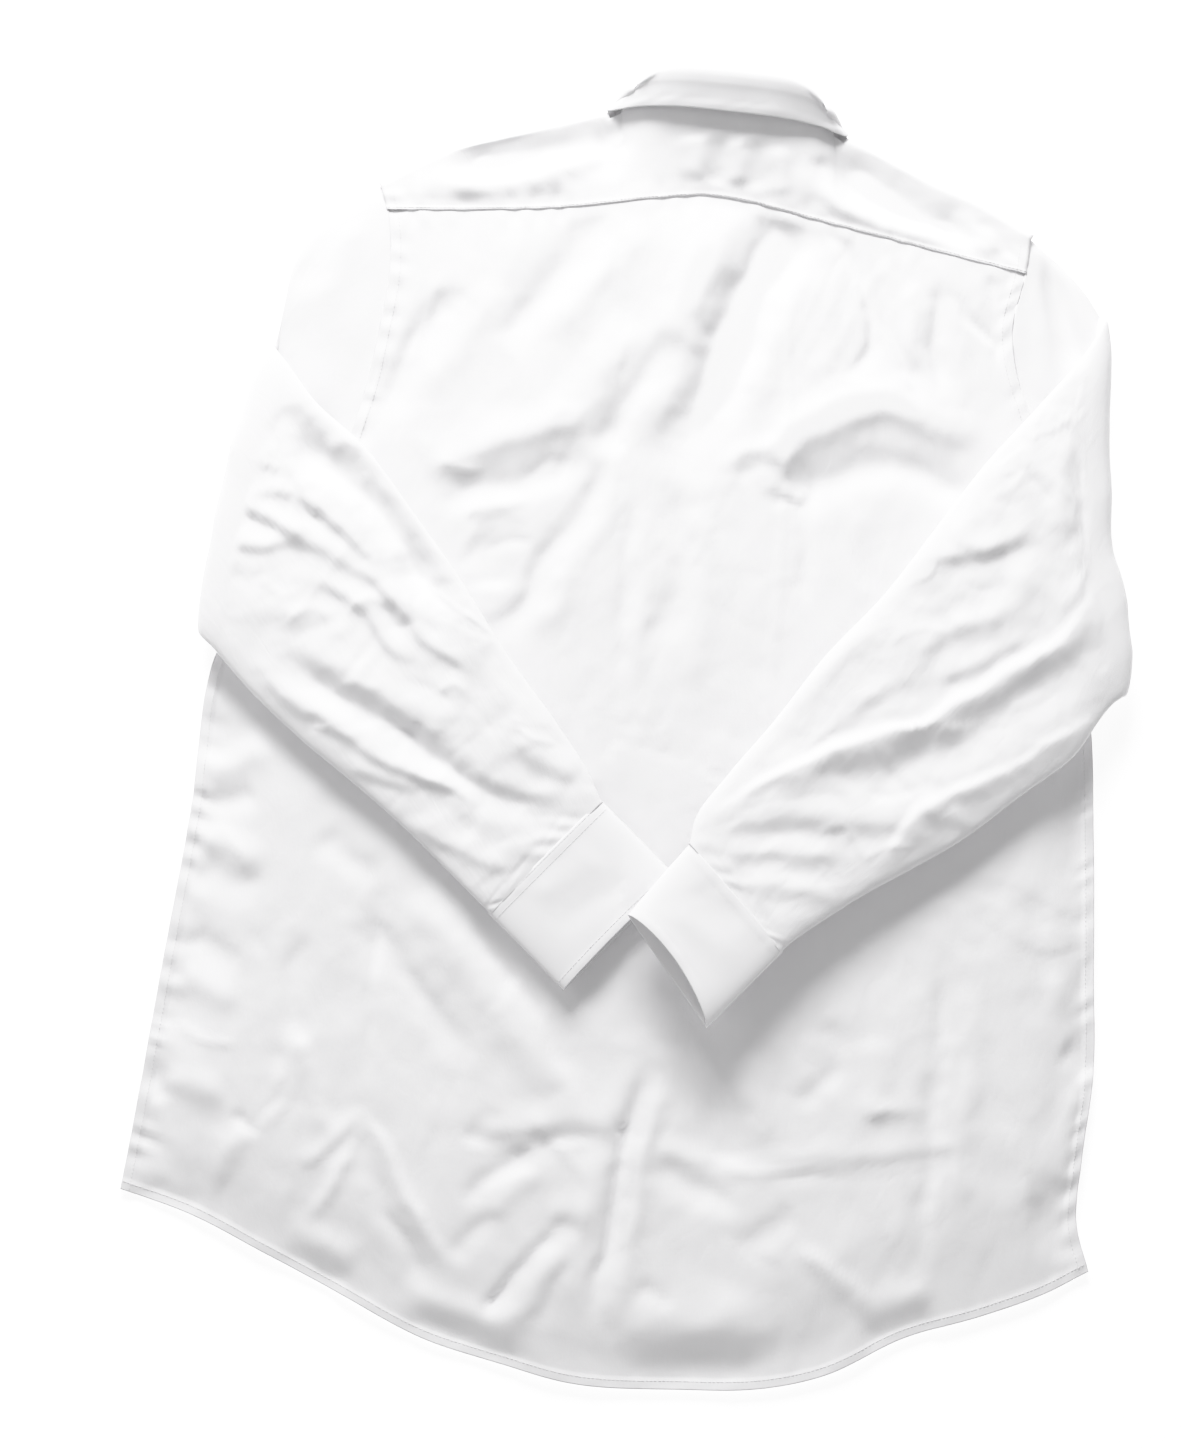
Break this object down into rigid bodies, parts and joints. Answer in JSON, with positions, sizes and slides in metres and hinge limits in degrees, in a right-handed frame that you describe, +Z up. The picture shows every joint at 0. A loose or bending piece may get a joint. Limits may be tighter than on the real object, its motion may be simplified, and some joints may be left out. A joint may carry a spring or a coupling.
{
  "type": "long sleeve dress shirt",
  "caption": "Long sleeve dress shirt with collar and buttoned cuffs, laid face down with both sleeves folded across its back; one rigid piece of cloth.",
  "frame": {"origin": "middle of the outline, on the surface that the shirt lies on", "axes": "+Y from the hem to the collar, +Z up from the fronts to the back, +X to the wearer's right as the shirt lies face down"},
  "size_m": [0.6343, 0.8457, 0.044],
  "materials": {
    "shirt_cloth": "matte woven cotton",
    "collar_cloth": "matte woven cotton over interlining",
    "cuff_cloth": "matte woven cotton over interlining",
    "button": "polished, pearly white"
  },
  "bodies": {
    "root": {"back_panel": "shirt_cloth", "yoke": "shirt_cloth", "front_left": "shirt_cloth", "front_right": "shirt_cloth", "sleeve_left": "shirt_cloth", "sleeve_right": "shirt_cloth", "cuff_left": "cuff_cloth", "cuff_right": "cuff_cloth", "collar_stand": "collar_cloth", "collar_fall": "collar_cloth", "button_collar": "button", "button_front_1": "button", "button_front_2": "button", "button_front_3": "button", "button_front_4": "button", "button_front_5": "button", "button_front_6": "button", "button_front_7": "button", "button_cuff_left": "button", "button_cuff_right": "button"}
  },
  "joints": []
}
